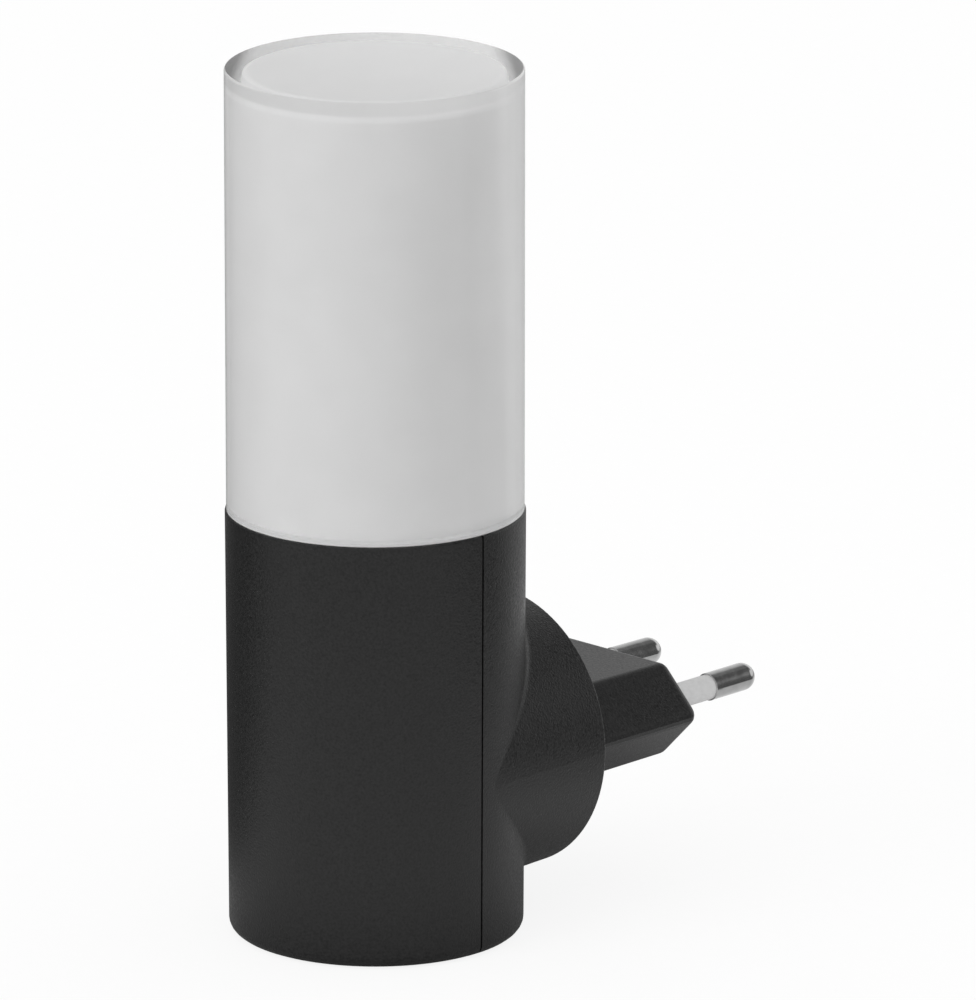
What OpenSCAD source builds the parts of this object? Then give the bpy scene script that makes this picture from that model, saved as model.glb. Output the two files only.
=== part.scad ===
// Plug-in night light. A two-part moulded housing carries a thick clear shade over an opal liner,
// and a round boss at its back ends in a flat two-pin plug. A rocker switch sits in the underside.
// Millimetres, +Z up. The body's axis is Z, the plug points along +Y, and the feet stand on Z = 0.

/* [Housing] */
// Outer diameter of the housing at its top rim
body_d = 42; // [41:0.5:48]
// How much the radius shrinks from the rim to the foot, for the mould to open
body_draft = 0.3; // [0:0.1:0.6]
// Height of the housing
base_h = 61; // [59:1:75]
// Wall thickness of the housing
wall = 2; // [1.8:0.1:2.2]
// Radius on the foot's outer edge
foot_round = 1.6; // [0.8:0.1:2]
// Radius on the top rim's outer edge
rim_round = 0.4; // [0.2:0.1:0.8]
// Width of the joint line between the two shells
seam_gap = 0.3; // [0.2:0.05:0.4]
// Width of the flat ring that the light stands on
foot_land = 3.2; // [2.6:0.1:3.6]
// Depth of the recess in the underside
recess = 3.2; // [3:0.1:4]

/* [Shade] */
// How far the clear shade stands back from the housing's rim
shade_step = 0.2; // [0:0.05:0.5]
// Height of the shade above the housing
shade_h = 63; // [50:1:80]
// Thickness of the clear side wall
shade_wall = 2.7; // [2.4:0.1:3.4]
// Thickness of the clear top
shade_top = 2.6; // [1.6:0.1:4]
// Radius on the shade's top edge
shade_edge = 0.4; // [0.2:0.1:1]
// Thickness of the opal liner
liner_wall = 1.6; // [1.2:0.1:2]
// Radius on the liner's top edge
liner_edge = 1; // [0.5:0.1:1.5]

/* [Boss] */
// Height of the plug's axis above the foot
plug_z = 24; // [23:0.5:27]
// How far the boss's root stays inside the housing's side
boss_inset = 0.3; // [0.3:0.1:0.6]
// How much the boss's radius shrinks from its root to its end
boss_taper = 0.7; // [0.4:0.1:1]
// Distance from the body's axis to the boss's end
boss_y = 25.8; // [24:0.5:34]
// Radius on the boss's end edge
boss_edge = 0.4; // [0.2:0.1:1]
// Thickness of the plug's round flange
disc_t = 3; // [2.6:0.1:4]
// Thickness of the web that the flange is screwed to
web_t = 2; // [1.6:0.1:3]

/* [Plug] */
// Width of the plug at its contact face
plug_w = 35.2; // [34.2:0.1:36]
// Height of the plug at its contact face
plug_h = 13.4; // [13:0.1:14]
// How much wider the plug is at its root, for the mould to open
plug_draft_w = 0.6; // [0.4:0.1:1]
// How much taller the plug is at its root
plug_draft_h = 0.4; // [0:0.1:1]
// Length of the plug beyond the boss
plug_len = 22; // [19:0.5:30]
// Radius on the plug's long edges
plug_corner = 1.4; // [0.8:0.1:2]
// Radius round the plug's contact face
plug_face_round = 1.5; // [0.6:0.1:1.8]
// Wall thickness of the plug's hollow part
plug_wall = 2; // [1.6:0.1:2.4]
// Length of the solid block that the pins are held in
block_len = 9; // [8:0.5:11]

/* [Pins] */
// Diameter of the bare part of a pin
pin_d = 4; // [3.9:0.05:4.1]
// Length of a pin beyond the contact face
pin_len = 19; // [18.5:0.5:19.5]
// Distance between the pins' centres at the contact face
pin_gap = 19; // [18.6:0.1:19.2]
// Distance between the pins' centres at their tips
pin_tip_gap = 18.4; // [17.6:0.1:19]
// How far the pins stand above the plug's side edges
pin_rise = 0.5; // [0:0.1:0.6]
// Diameter of the insulating sleeve
sleeve_d = 3.65; // [3.5:0.05:3.8]
// Length of the insulating sleeve
sleeve_len = 10.6; // [10:0.1:11]

/* [Switch] */
// Length of the rocker
rocker_len = 10.8; // [10:0.1:11]
// Width of the rocker
rocker_w = 7.4; // [6.8:0.1:7.8]
// Angle that the rocker leans either way from its middle
rocker_tilt = 9; // [7:1:9]
// Distance from the rocker's pivot to the tip of its plunger
plunger_reach = 6; // [5.6:0.1:6.4]

/* [Light source] */
// Gap between the light source's board and the liner
led_board_gap = 1.7; // [1.2:0.1:2.4]
// Thickness of the light source's board
led_board_t = 1.2; // [1:0.1:1.6]
// Number of light-emitting diodes
led_count = 8; // [6:1:10]

/* [Driver board] */
// Gap between the driver board's edges and the wall beside them
board_gap = 1; // [0.8:0.1:1.4]
// Height of the driver board
board_h = 25; // [24:0.5:26]
// Thickness of the driver board
board_t = 1.6; // [1.2:0.1:2]
// Distance of the driver board's back from the body's axis
board_y = 7.8; // [7:0.1:8]

/* [Hidden] */
$fn = 72;

// Overrun of every cut
over = 1;
// Clearance of a part that is laid in its seat
fit = 0.1;
// Clearance of a pressed or screwed shank
snug = 0.02;
// Thickness of the slices that a drafted form is spanned between
slice = 0.02;

// Housing
body_r = body_d / 2;
foot_r = body_r - body_draft;
bore_r = body_r - wall;
foot_in_r = foot_r - foot_round - foot_land;
ledge_t = 1.2;
ledge_w = 1.7;
tongue_t = 0.9;
tongue_len = 1.4;

// Bottom plate, laid in a groove above the foot
plate_t = 2;
plate_edge = 1.4;
plate_r = foot_in_r + plate_edge;
plate_z = recess;
plate_ledge_z = plate_z + plate_t + fit;

// Shade and liner
shade_r = body_r - shade_step;
liner_r = shade_r - shade_wall;
liner_in_r = liner_r - liner_wall;
shade_gap = 0.05;
top_z = base_h + shade_h;
liner_top = top_z - shade_top;
spigot_len = 8;
liner_z = base_h - spigot_len;
bead_h = 1.6;
bead_out = 0.7;
bead_z = liner_z + ledge_t;
bead_r = liner_r + bead_out;
groove_r = bead_r + fit;
groove_top = bead_z + bead_h + fit;

// Carrier of the light source, whose flange lies under the liner
flange_t = 2;
flange_z = liner_z - flange_t;
led_board_r = liner_in_r - led_board_gap;
drum_clear = 0.2;
drum_r = liner_in_r - drum_clear;
drum_wall = 1.6;
drum_h = 7;
drum_top = liner_z + drum_h;
led_z = drum_top + led_board_t;
chip_side = 2.8;
chip_t = 0.8;
chip_lens_r = 1.1;
chip_lens_h = 0.15;
chip_ring_share = 0.68;
chip_ring_r = led_board_r * chip_ring_share;
chip_clear = 0.3;
led_slot = [4.4, 3];
led_slot_edge = 2.3;
led_slot_y = led_board_r - led_slot_edge - led_slot[1] / 2;
led_wire_x = 1.15;
// Half the sector that the ring of diodes leaves free for the slot
slot_sector = asin((led_slot[0] / 2 + chip_side / sqrt(2) + chip_clear) / chip_ring_r);

// Small screws
screw_r = 1.1;
screw_head_r = 2;
screw_head_h = 1.4;
screw_hole = 0.15;
screw_slot = 0.6;
screw_slot_share = 0.6;
led_screw_r = chip_ring_r - chip_side / sqrt(2) - chip_clear - screw_head_r;

// Boss and plug
boss_root_r = body_r - boss_inset;
boss_r = boss_root_r - boss_taper;
disc_y = boss_y - disc_t;
web_y = disc_y - web_t;
disc_r = boss_r - wall - fit;
plug_y = boss_y + plug_len;
plug_root_w = plug_w + plug_draft_w;
plug_root_h = plug_h + plug_draft_h;
plug_screw_z = 12.6;
screw_floor = 0.8;
plug_screw_len = web_t + disc_t - screw_floor;
core_y = plug_y - block_len;
round_steps = 6;

// Pins, whose axes lean in towards each other
pin_r = pin_d / 2;
pin_z = plug_z + pin_rise;
pin_lean = atan((pin_gap - pin_tip_gap) / 2 / pin_len);
neck_r = 1.5;
collar_r = 2.7;
collar_t = 1.2;
stub_r = 1.2;
stub_len = 4.6;
pin_back = block_len + fit + collar_t + stub_len;
pin_chamfer = 0.3;
sleeve_sunk = 0.3;
retainer_t = 2;
pin_side = [-1, 1];

// Switch. Its parts are drawn with the rocker level, and turn about the pivot.
bezel_t = 1;
bezel_lip = 0.9;
switch_wall = 0.7;
rocker_clear = 0.2;
rocker_swing = 0.7;
cell_w = rocker_w + 2 * rocker_clear;
cell_len = rocker_len + 2 * rocker_swing;
switch_w = cell_w + 2 * switch_wall;
switch_len = cell_len + 2 * switch_wall;
bezel_z = plate_z - bezel_t;
pivot_depth = 2.5;
pivot_z = bezel_z + pivot_depth;
pivot_r = 0.9;
pivot_clear = 0.05;
rocker_proud = 0.5;
rocker_dip = 0.3;
rocker_deep = 4;
hub_r = 2.4;
hub_h = 3.2;
well_deep = 0.9;
plunger_r = 1.4;
plunger_tail = 1.2;
plunger_stem_r = 0.55;
plunger_stem = 1;
spring_r = 1;
spring_wire = 0.3;
spring_turns = 3;
spring_turn_rings = 10;
lug_out = 0.6;
lug_h = 1.6;
lug_w = 4;
blade_gap = 0.3;
blade_t = 0.4;
blade_len = 9;
blade_w = 4;
blade_tilt = 5;
blade_low = pivot_z + plunger_reach + blade_gap;
blade_z = blade_low + blade_t;
terminal_clear = 0.06;
terminal_t = 0.8;
terminal_w = 4.6;
contact_y = 3.9;
contact_r = 1;
contact_gap = 0.45;
contact_h = 1;
switch_top = blade_z + contact_gap + contact_h;
switch_roof = 1.2;
terminal_len = 6.4;
terminal_top = switch_top + switch_roof + terminal_len;

// Driver board and what stands on it
board_w = 2 * (sqrt(pow(bore_r, 2) - pow(board_y, 2)) - board_gap);
board_headroom = 1.3;
board_z = flange_z - ledge_t - board_headroom - board_h;
board_front = -board_y + board_t;
rail_t = 1.5;
rail_grip = 1.6;
rail_foot = 1.5;
rail_x = board_w / 2 - rail_grip;
part_gap = 0.4;
film_size = [10.4, 8, 6.5];
film_share = 0.8;
can_r = 4;
can_h = 11.5;
can_groove = 0.35;
can_groove_share = 0.12;
can_share = 0.76;
coil_r = 3.6;
coil_cheek = 1.2;
coil_len = 8;
coil_waist_share = 0.82;
coil_share = 0.32;
bridge_size = [6.4, 4.8, 2.6];
bridge_share = 0.5;
chip_size = [5, 4, 1.6];
chip_leg = [0.5, 1.1, 0.5];
chip_pitch = 1.27;
chip_share = 0.4;
fuse_r = 1.6;
fuse_len = 8;
fuse_lead_r = 0.35;
fuse_lead_out = 1.2;
fuse_share = 0.13;
mains_pad_share = [0.29, 0.1];
led_pad_share = 0.94;

// Snap hooks that hold the shells together
hook_t = 1.2;
hook_w = 5;
hook_reach = 5;
hook_root = 3;
hook_barb = 0.6;
hook_barb_len = 1.6;
hook_inset = 1.6;
hook_edge = 1.1;
hook_low_z = plate_ledge_z + ledge_t + hook_edge + hook_w / 2;
hook_high_z = flange_z - ledge_t - hook_edge - hook_w / 2;

// Wires
wire_r = 0.65;
wire_sides = 8;
wire_steps = 4;
wire_lead = 2.4;
led_lead = 1.5;
led_loop = 2.2;

// Points of an arc about c, from angle a0 to a1
function arc(c, r, a0, a1, n = round_steps) =
    [for (i = [0:n]) let (a = a0 + (a1 - a0) * i / n) c + r * [cos(a), sin(a)]];

// A closed outline with every corner rounded to radius r
function rounded(p, r, n = 4) = [for (i = [0:len(p) - 1])
    let (a = p[(i + len(p) - 1) % len(p)], b = p[i], c = p[(i + 1) % len(p)],
        u = (a - b) / norm(a - b), v = (c - b) / norm(c - b),
        half = acos(u * v) / 2, m = (u + v) / norm(u + v),
        o = b + m * r / sin(half), start = atan2(-m[1], -m[0]), side = sign(u[0] * v[1] - u[1] * v[0]),
        span = 90 - half)
    for (k = [-n:2:n]) let (t = start - side * span * k / n) o + r * [cos(t), sin(t)]];

// The plug's six-sided outline: flat top and bottom, and sides that run out to an edge at half height
function hexagon(w, h) = [[w / 2, 0], [(w - h) / 2, h / 2], [-(w - h) / 2, h / 2],
    [-w / 2, 0], [-(w - h) / 2, -h / 2], [(w - h) / 2, -h / 2]];

// A smooth curve through points p
function through(p, n) = concat([for (i = [0:len(p) - 2], k = [0:n - 1])
    let (a = p[max(i - 1, 0)], b = p[i], c = p[i + 1], d = p[min(i + 2, len(p) - 1)], t = k / n)
    b + t / 2 * (c - a) + t * t / 2 * (2 * a - 5 * b + 4 * c - d)
        + t * t * t / 2 * (3 * b - a - 3 * c + d)], [p[len(p) - 1]]);

// Directions along a path, and a side direction carried along it without twist
function heading(p, i) = let (d = p[min(i + 1, len(p) - 1)] - p[max(i - 1, 0)]) d / norm(d);
function square_to(v, t) = let (w = v - (v * t) * t) w / norm(w);
function carried(p, v, i = 0, out = []) = i == len(p) ? out :
    let (s = square_to(v, heading(p, i))) carried(p, s, i + 1, concat(out, [s]));

// A round tube of radius r swept along path p
module sweep(p, r, sides) {
    seed = abs(heading(p, 0) * [0, 0, 1]) > 0.8 ? [1, 0, 0] : [0, 0, 1];
    s = carried(p, seed);
    rings = [for (i = [0:len(p) - 1]) let (t = heading(p, i), u = s[i], v = cross(t, u))
        for (k = [0:sides - 1]) p[i] + r * (cos(360 * k / sides) * u + sin(360 * k / sides) * v)];
    last = len(p) - 1;
    walls = [for (i = [0:last - 1], k = [0:sides - 1])
        let (a = i * sides + k, b = i * sides + (k + 1) % sides)
        each [[a, b + sides, b], [a, a + sides, b + sides]]];
    polyhedron(rings, concat([[for (k = [0:sides - 1]) k]], walls,
        [[for (k = [0:sides - 1]) last * sides + sides - 1 - k]]));
}

module along_y(y, z = 0) {
    translate([0, y, z]) rotate([-90, 0, 0]) children();
}

// A box given by two opposite corners
module block(a, b) {
    translate(a) cube(b - a);
}

// Solid outside form of the housing
module body_form() {
    rotate_extrude() polygon(concat([[0, 0]],
        arc([foot_r - foot_round, foot_round], foot_round, -90, 0),
        arc([body_r - rim_round, base_h - rim_round], rim_round, 0, 90), [[0, base_h]]));
}

// Everything that both shells leave open inside: recess, plate groove, bore, flange and bead grooves
module body_cavity() {
    rotate_extrude() polygon([[0, -over], [foot_in_r, -over], [foot_in_r, plate_z], [plate_r + fit, plate_z],
        [plate_r + fit, plate_ledge_z], [bore_r - ledge_w, plate_ledge_z],
        [bore_r - ledge_w, plate_ledge_z + ledge_t], [bore_r, plate_ledge_z + ledge_t],
        [bore_r, flange_z - ledge_t], [bore_r - ledge_w, flange_z - ledge_t],
        [bore_r - ledge_w, flange_z], [groove_r, flange_z], [groove_r, groove_top],
        [liner_r + fit, groove_top], [liner_r + fit, base_h + over], [0, base_h + over]]);
}

// One side of the joint plane, side -1 in front and 1 behind, drawn back by a distance
module side_of(side, back) {
    reach = 2 * body_d + boss_y;
    translate([-reach, side > 0 ? back : -reach - back, -over]) cube([2 * reach, reach, top_z + 2 * over]);
}

// The tongue on the front shell, or with a clearance the rebate for it in the rear shell
module tongue(grow) {
    low = plate_ledge_z + ledge_t + fit - grow;
    high = flange_z - ledge_t - fit + grow;
    intersection() {
        difference() {
            translate([0, 0, low]) cylinder(r = bore_r + tongue_t + grow, h = high - low);
            translate([0, 0, low - over]) cylinder(r = bore_r - grow, h = high - low + 2 * over);
        }
        block([-body_d, -seam_gap / 2, low], [body_d, tongue_len + grow, high]);
    }
}

// Hook outlines seen from above, on the +X side
module hook_at(z) {
    x = bore_r - hook_inset - hook_t;
    translate([0, 0, z - hook_w / 2]) linear_extrude(hook_w)
        polygon([[x, -hook_root], [x + hook_t + hook_inset, -hook_root],
            [x + hook_t + hook_inset, -seam_gap / 2 - fit], [x + hook_t, -seam_gap / 2 - fit],
            [x + hook_t, hook_reach - hook_barb_len], [x + hook_t + hook_barb, hook_reach - hook_barb_len],
            [x + hook_t, hook_reach], [x, hook_reach]]);
}

// The catch on the rear shell that a hook's barb grips
module catch_at(z) {
    x = bore_r - hook_inset + fit;
    high = hook_reach - hook_barb_len - fit;
    translate([0, 0, z - hook_w / 2]) intersection() {
        linear_extrude(hook_w) polygon([[x, high - hook_barb_len], [bore_r + wall / 2, high - hook_barb_len],
            [bore_r + wall / 2, high], [x, high]]);
        cylinder(r = bore_r + wall / 2, h = hook_w);
    }
}

module both_sides() {
    children();
    mirror([1, 0, 0]) children();
}

module front_shell() color("#2f2f31") {
    rail_low = board_z - rail_foot;
    difference() {
        union() {
            difference() {
                intersection() {
                    body_form();
                    side_of(-1, seam_gap / 2);
                }
                body_cavity();
            }
            tongue(0);
            // Grooved rails for the driver board's edges
            both_sides() intersection() {
                block([rail_x, -board_y - rail_t - fit, rail_low],
                    [bore_r, board_front + rail_t + fit, board_z + board_h]);
                cylinder(r = bore_r + wall / 2, h = base_h);
            }
        }
        block([-board_w / 2 - fit, -board_y - fit, board_z],
            [board_w / 2 + fit, board_front + fit, flange_z - ledge_t]);
    }
    for (z = [hook_low_z, hook_high_z]) both_sides() intersection() {
        hook_at(z);
        cylinder(r = bore_r + wall / 2, h = base_h);
    }
}

// Outside of the boss: a cone with a rounded end, from the joint plane to its end face
module boss_form() {
    along_y(0, plug_z) rotate_extrude() polygon(concat([[0, seam_gap / 2], [boss_root_r, seam_gap / 2]],
        arc([boss_r - boss_edge, boss_y - boss_edge], boss_edge, 0, 90), [[0, boss_y]]));
}

module plug_screw_places() {
    for (s = [-1, 1]) translate([0, 0, plug_z + s * plug_screw_z]) children();
}

module rear_shell() color("#2f2f31") {
    difference() {
        union() {
            intersection() {
                body_form();
                side_of(1, seam_gap / 2);
            }
            boss_form();
        }
        body_cavity();
        tongue(fit);
        along_y(0, plug_z) cylinder(r1 = boss_root_r - wall, r2 = boss_r - wall, h = web_y);
        along_y(disc_y, plug_z) cylinder(r = disc_r + fit, h = disc_t + over);
        // Opening in the web for the wires
        along_y(web_y - over, plug_z) linear_extrude(web_t + 2 * over)
            polygon(hexagon(plug_w - 2 * sqrt(2) * plug_wall, plug_h - 2 * plug_wall));
        plug_screw_places() along_y(web_y - over) cylinder(r = screw_r + screw_hole, h = web_t + 2 * over);
    }
    for (z = [hook_low_z, hook_high_z]) both_sides() catch_at(z);
}

module bottom_plate() color("#2b2b2d") difference() {
    translate([0, 0, plate_z]) cylinder(r = plate_r, h = plate_t);
    block([-switch_w / 2 - fit, -switch_len / 2 - fit, plate_z - over],
        [switch_w / 2 + fit, switch_len / 2 + fit, plate_z + plate_t + over]);
}

// Outside of the liner, which is also the inside of the shade
function liner_outline() = concat([[0, base_h - over], [liner_r, base_h - over]],
    arc([liner_r - liner_edge, liner_top - liner_edge], liner_edge, 0, 90), [[0, liner_top]]);

module clear_shade() color("#dfe4e6", 0.4) rotate_extrude() difference() {
    polygon(concat([[0, base_h + shade_gap], [shade_r, base_h + shade_gap]],
        arc([shade_r - shade_edge, top_z - shade_edge], shade_edge, 0, 90), [[0, top_z]]));
    polygon(liner_outline());
}

module opal_liner() color("#d8d8d6") rotate_extrude() difference() {
    union() {
        polygon(liner_outline());
        polygon([[0, liner_z], [liner_r, liner_z], [liner_r, base_h], [0, base_h]]);
        polygon([[0, bead_z], [liner_r, bead_z], [bead_r, bead_z + bead_h / 2],
            [bead_r, bead_z + bead_h], [0, bead_z + bead_h]]);
    }
    polygon([[-over, liner_z - over], [liner_in_r, liner_z - over], [liner_in_r, liner_top - liner_wall],
        [-over, liner_top - liner_wall]]);
    translate([-liner_r, liner_z]) square([liner_r, top_z]);
}

module led_screw_places() {
    for (a = [-45, 45]) rotate(a) translate([0, led_screw_r, 0]) children();
}

// Slot that the two wires rise through, in the carrier and in the board
module led_slot_form(z, h) {
    translate([-led_slot[0] / 2, -led_slot_y - led_slot[1] / 2, z]) cube([led_slot[0], led_slot[1], h]);
}

module led_carrier() color("#e8e8e4") difference() {
    union() {
        translate([0, 0, flange_z]) cylinder(r = groove_r - fit, h = flange_t);
        translate([0, 0, liner_z]) cylinder(r = drum_r, h = drum_h);
    }
    translate([0, 0, flange_z - over]) cylinder(r = drum_r - drum_wall, h = flange_t + drum_h - drum_wall + over);
    led_slot_form(drum_top - drum_wall - over, drum_wall + 2 * over);
    led_screw_places() translate([0, 0, drum_top - drum_wall - over])
        cylinder(r = screw_r + snug, h = drum_wall + 2 * over);
}

module led_board() color("#f2f2ee") difference() {
    translate([0, 0, drum_top]) cylinder(r = led_board_r, h = led_board_t);
    led_slot_form(drum_top - over, led_board_t + 2 * over);
    led_screw_places() translate([0, 0, drum_top - over])
        cylinder(r = screw_r + screw_hole, h = led_board_t + 2 * over);
}

// The diodes share the ring evenly, but for the slot's sector
module led_chips() color("#e9d65a") for (i = [0:led_count - 1])
    rotate(slot_sector + (360 - 2 * slot_sector) * i / (led_count - 1)) translate([0, -chip_ring_r, led_z]) {
        translate([-chip_side / 2, -chip_side / 2, 0]) cube([chip_side, chip_side, chip_t]);
        cylinder(r = chip_lens_r, h = chip_t + chip_lens_h);
    }

// A slotted round-head screw pointing down, its head's seat at the origin
module screw(len) {
    difference() {
        union() {
            translate([0, 0, -len]) cylinder(r = screw_r, h = len);
            cylinder(r = screw_head_r, h = screw_head_h);
        }
        for (a = [0, 90]) rotate(a) block([-screw_head_r * screw_slot_share, -screw_slot / 2, screw_head_h / 2],
            [screw_head_r * screw_slot_share, screw_slot / 2, screw_head_h + over]);
    }
}

module led_screws() color("#b8b8b8") led_screw_places() translate([0, 0, led_z]) screw(led_board_t + drum_wall);

module plug_screws() color("#b8b8b8") plug_screw_places() along_y(web_y) rotate([180, 0, 0]) screw(plug_screw_len);

// Slices of the plug from its root to its rounded contact face
module plug_slice(y, inset) {
    share = (y - boss_y) / plug_len;
    w = plug_root_w + (plug_w - plug_root_w) * share - 2 * inset;
    h = plug_root_h + (plug_h - plug_root_h) * share - 2 * inset;
    along_y(y - slice, plug_z) linear_extrude(slice) polygon(rounded(hexagon(w, h), plug_corner));
}

module plug_body() color("#2f2f31") difference() {
    union() {
        along_y(disc_y, plug_z) cylinder(r = disc_r, h = disc_t);
        hull() {
            plug_slice(boss_y, 0);
            for (a = [0:90 / round_steps:90])
                plug_slice(plug_y - plug_face_round + plug_face_round * sin(a), plug_face_round * (1 - cos(a)));
        }
    }
    // Hollow behind the block, which opens towards the housing
    along_y(disc_y - over, plug_z) linear_extrude(core_y - disc_y + over)
        polygon(hexagon(plug_w - 2 * sqrt(2) * plug_wall, plug_h - 2 * plug_wall));
    for (side = pin_side) on_pin(side) translate([0, 0, -block_len - over])
        cylinder(r = pin_r + snug, h = block_len + 2 * over);
    plug_screw_places() along_y(disc_y - over) cylinder(r = screw_r + snug, h = plug_screw_len - web_t + over + fit);
}

// Puts what is drawn along +Z on a pin's axis, with the contact face at the origin
module on_pin(side) {
    translate([side * pin_gap / 2, plug_y, pin_z]) rotate([-90, 0, side * pin_lean]) children();
}

module contact_pin(side) color("#b9b7b2") on_pin(side) {
    translate([0, 0, pin_len - pin_r]) sphere(r = pin_r);
    translate([0, 0, sleeve_len + pin_chamfer]) cylinder(r = pin_r, h = pin_len - pin_r - sleeve_len - pin_chamfer);
    translate([0, 0, sleeve_len]) cylinder(r1 = pin_r - pin_chamfer, r2 = pin_r, h = pin_chamfer);
    translate([0, 0, -sleeve_sunk]) cylinder(r = neck_r, h = sleeve_len + sleeve_sunk);
    translate([0, 0, -block_len - fit]) cylinder(r = pin_r, h = block_len + fit - sleeve_sunk);
    translate([0, 0, -block_len - fit - collar_t]) cylinder(r = collar_r, h = collar_t);
    translate([0, 0, -block_len - fit - collar_t - stub_len]) cylinder(r = stub_r, h = stub_len);
}

module pin_sleeve(side) color("#d4d4d2") on_pin(side) difference() {
    translate([0, 0, -sleeve_sunk]) cylinder(d = sleeve_d, h = sleeve_len + sleeve_sunk);
    translate([0, 0, -sleeve_sunk - over]) cylinder(r = neck_r, h = sleeve_len + sleeve_sunk + 2 * over);
}

module contact_pin_left() contact_pin(-1);
module contact_pin_right() contact_pin(1);
module pin_sleeve_left() pin_sleeve(-1);
module pin_sleeve_right() pin_sleeve(1);

// Plate pressed into the plug's hollow behind the pins' collars
module pin_retainer() color("#c9c6bb") {
    y = core_y - collar_t - 3 * fit;
    difference() {
        along_y(y - retainer_t, plug_z) linear_extrude(retainer_t)
            polygon(hexagon(plug_w - 2 * sqrt(2) * (plug_wall + fit), plug_h - 2 * (plug_wall + fit)));
        for (side = pin_side) on_pin(side) translate([0, 0, -block_len - collar_t - stub_len])
            cylinder(r = stub_r + fit, h = stub_len);
    }
}

module driver_board() color("#2f7a4a") block([-board_w / 2, -board_y, board_z],
    [board_w / 2, board_front, board_z + board_h]);

// Puts what is drawn along +Z on the driver board's back, at a place across it and a share of its height
module on_board(x, z_share) {
    translate([x, board_front, board_z + z_share * board_h]) rotate([-90, 0, 0]) children();
}

module film_capacitor() color("#c8a13a") on_board(film_size[0] / 2 + part_gap - rail_x, film_share)
    translate([-film_size[0] / 2, -film_size[1] / 2, 0]) cube(film_size);

module smoothing_capacitor() color("#3b4a86") on_board(rail_x - part_gap - can_r, can_share) difference() {
    cylinder(r = can_r, h = can_h);
    translate([0, 0, can_h * can_groove_share]) difference() {
        cylinder(r = can_r + over, h = 2 * can_groove);
        translate([0, 0, -over]) cylinder(r = can_r - can_groove, h = 2 * can_groove + 2 * over);
    }
}

module power_inductor() color("#3a3634") on_board(coil_r + part_gap - rail_x, coil_share) {
    cylinder(r = coil_r, h = coil_cheek);
    translate([0, 0, coil_cheek]) cylinder(r = coil_r * coil_waist_share, h = coil_len - 2 * coil_cheek);
    translate([0, 0, coil_len - coil_cheek]) cylinder(r = coil_r, h = coil_cheek);
}

module bridge_rectifier() color("#232323") on_board(0, bridge_share)
    translate([-bridge_size[0] / 2, -bridge_size[1] / 2, 0]) cube(bridge_size);

module driver_chip() color("#232323") on_board(rail_x - part_gap - chip_size[0] / 2, chip_share) {
    translate([-chip_size[0] / 2, -chip_size[1] / 2, 0]) cube(chip_size);
    for (side = [-1, 1], i = [-1.5:1:1.5]) translate([i * chip_pitch - chip_leg[0] / 2,
        side > 0 ? chip_size[1] / 2 : -chip_size[1] / 2 - chip_leg[1], 0]) cube(chip_leg);
}

module fuse_resistor() color("#5c8a6a") on_board(fuse_r, fuse_share) {
    translate([-fuse_len / 2, 0, fuse_r]) rotate([0, 90, 0]) cylinder(r = fuse_r, h = fuse_len);
    for (side = [-1, 1]) {
        translate([side > 0 ? fuse_len / 2 : -fuse_len / 2 - fuse_lead_out, 0, fuse_r]) rotate([0, 90, 0])
            cylinder(r = fuse_lead_r, h = fuse_lead_out);
        translate([side * (fuse_len / 2 + fuse_lead_out), 0, 0]) cylinder(r = fuse_lead_r, h = fuse_r + fuse_lead_r);
    }
}

// Turns what is drawn level about the rocker's pivot, or about the blade's edge
module tilted(z, angle) {
    translate([0, 0, z]) rotate([angle, 0, 0]) translate([0, 0, -z]) children();
}

module switch_housing() color("#1f1f20") difference() {
    union() {
        block([-switch_w / 2, -switch_len / 2, bezel_z], [switch_w / 2, switch_len / 2, switch_top + switch_roof]);
        block([-switch_w / 2 - bezel_lip, -switch_len / 2 - bezel_lip, bezel_z],
            [switch_w / 2 + bezel_lip, switch_len / 2 + bezel_lip, plate_z]);
        // Lugs that snap over the bottom plate
        for (a = [0, 180]) rotate(a) translate([-lug_w / 2, switch_len / 2, plate_z + plate_t])
            rotate([90, 0, 90]) linear_extrude(lug_w) polygon([[-switch_wall, 0], [lug_out, 0],
                [0, lug_h], [-switch_wall, lug_h]]);
    }
    block([-cell_w / 2, -cell_len / 2, bezel_z - over], [cell_w / 2, cell_len / 2, switch_top]);
    translate([-switch_w, 0, pivot_z]) rotate([0, 90, 0]) cylinder(r = pivot_r + pivot_clear, h = 2 * switch_w);
    for (y = [0, contact_y]) block([-terminal_w / 2 - snug, y - terminal_t / 2 - snug, switch_top - over],
        [terminal_w / 2 + snug, y + terminal_t / 2 + snug, switch_top + switch_roof + over]);
}

module switch_terminals() color("#c7b784") {
    knife_z = blade_z + terminal_clear + terminal_t / 2;
    block([-terminal_w / 2, -terminal_t / 2, knife_z], [terminal_w / 2, terminal_t / 2, terminal_top]);
    translate([-terminal_w / 2, 0, knife_z]) rotate([0, 90, 0]) cylinder(d = terminal_t, h = terminal_w);
    translate([0, contact_y, blade_z + contact_gap]) cylinder(r = contact_r, h = contact_h);
    block([-terminal_w / 2, contact_y - terminal_t / 2, switch_top - snug],
        [terminal_w / 2, contact_y + terminal_t / 2, terminal_top]);
}

module switch_blade() color("#c98f5a") tilted(blade_z, -blade_tilt)
    block([-blade_w / 2, -blade_len / 2, blade_low], [blade_w / 2, blade_len / 2, blade_z]);

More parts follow.
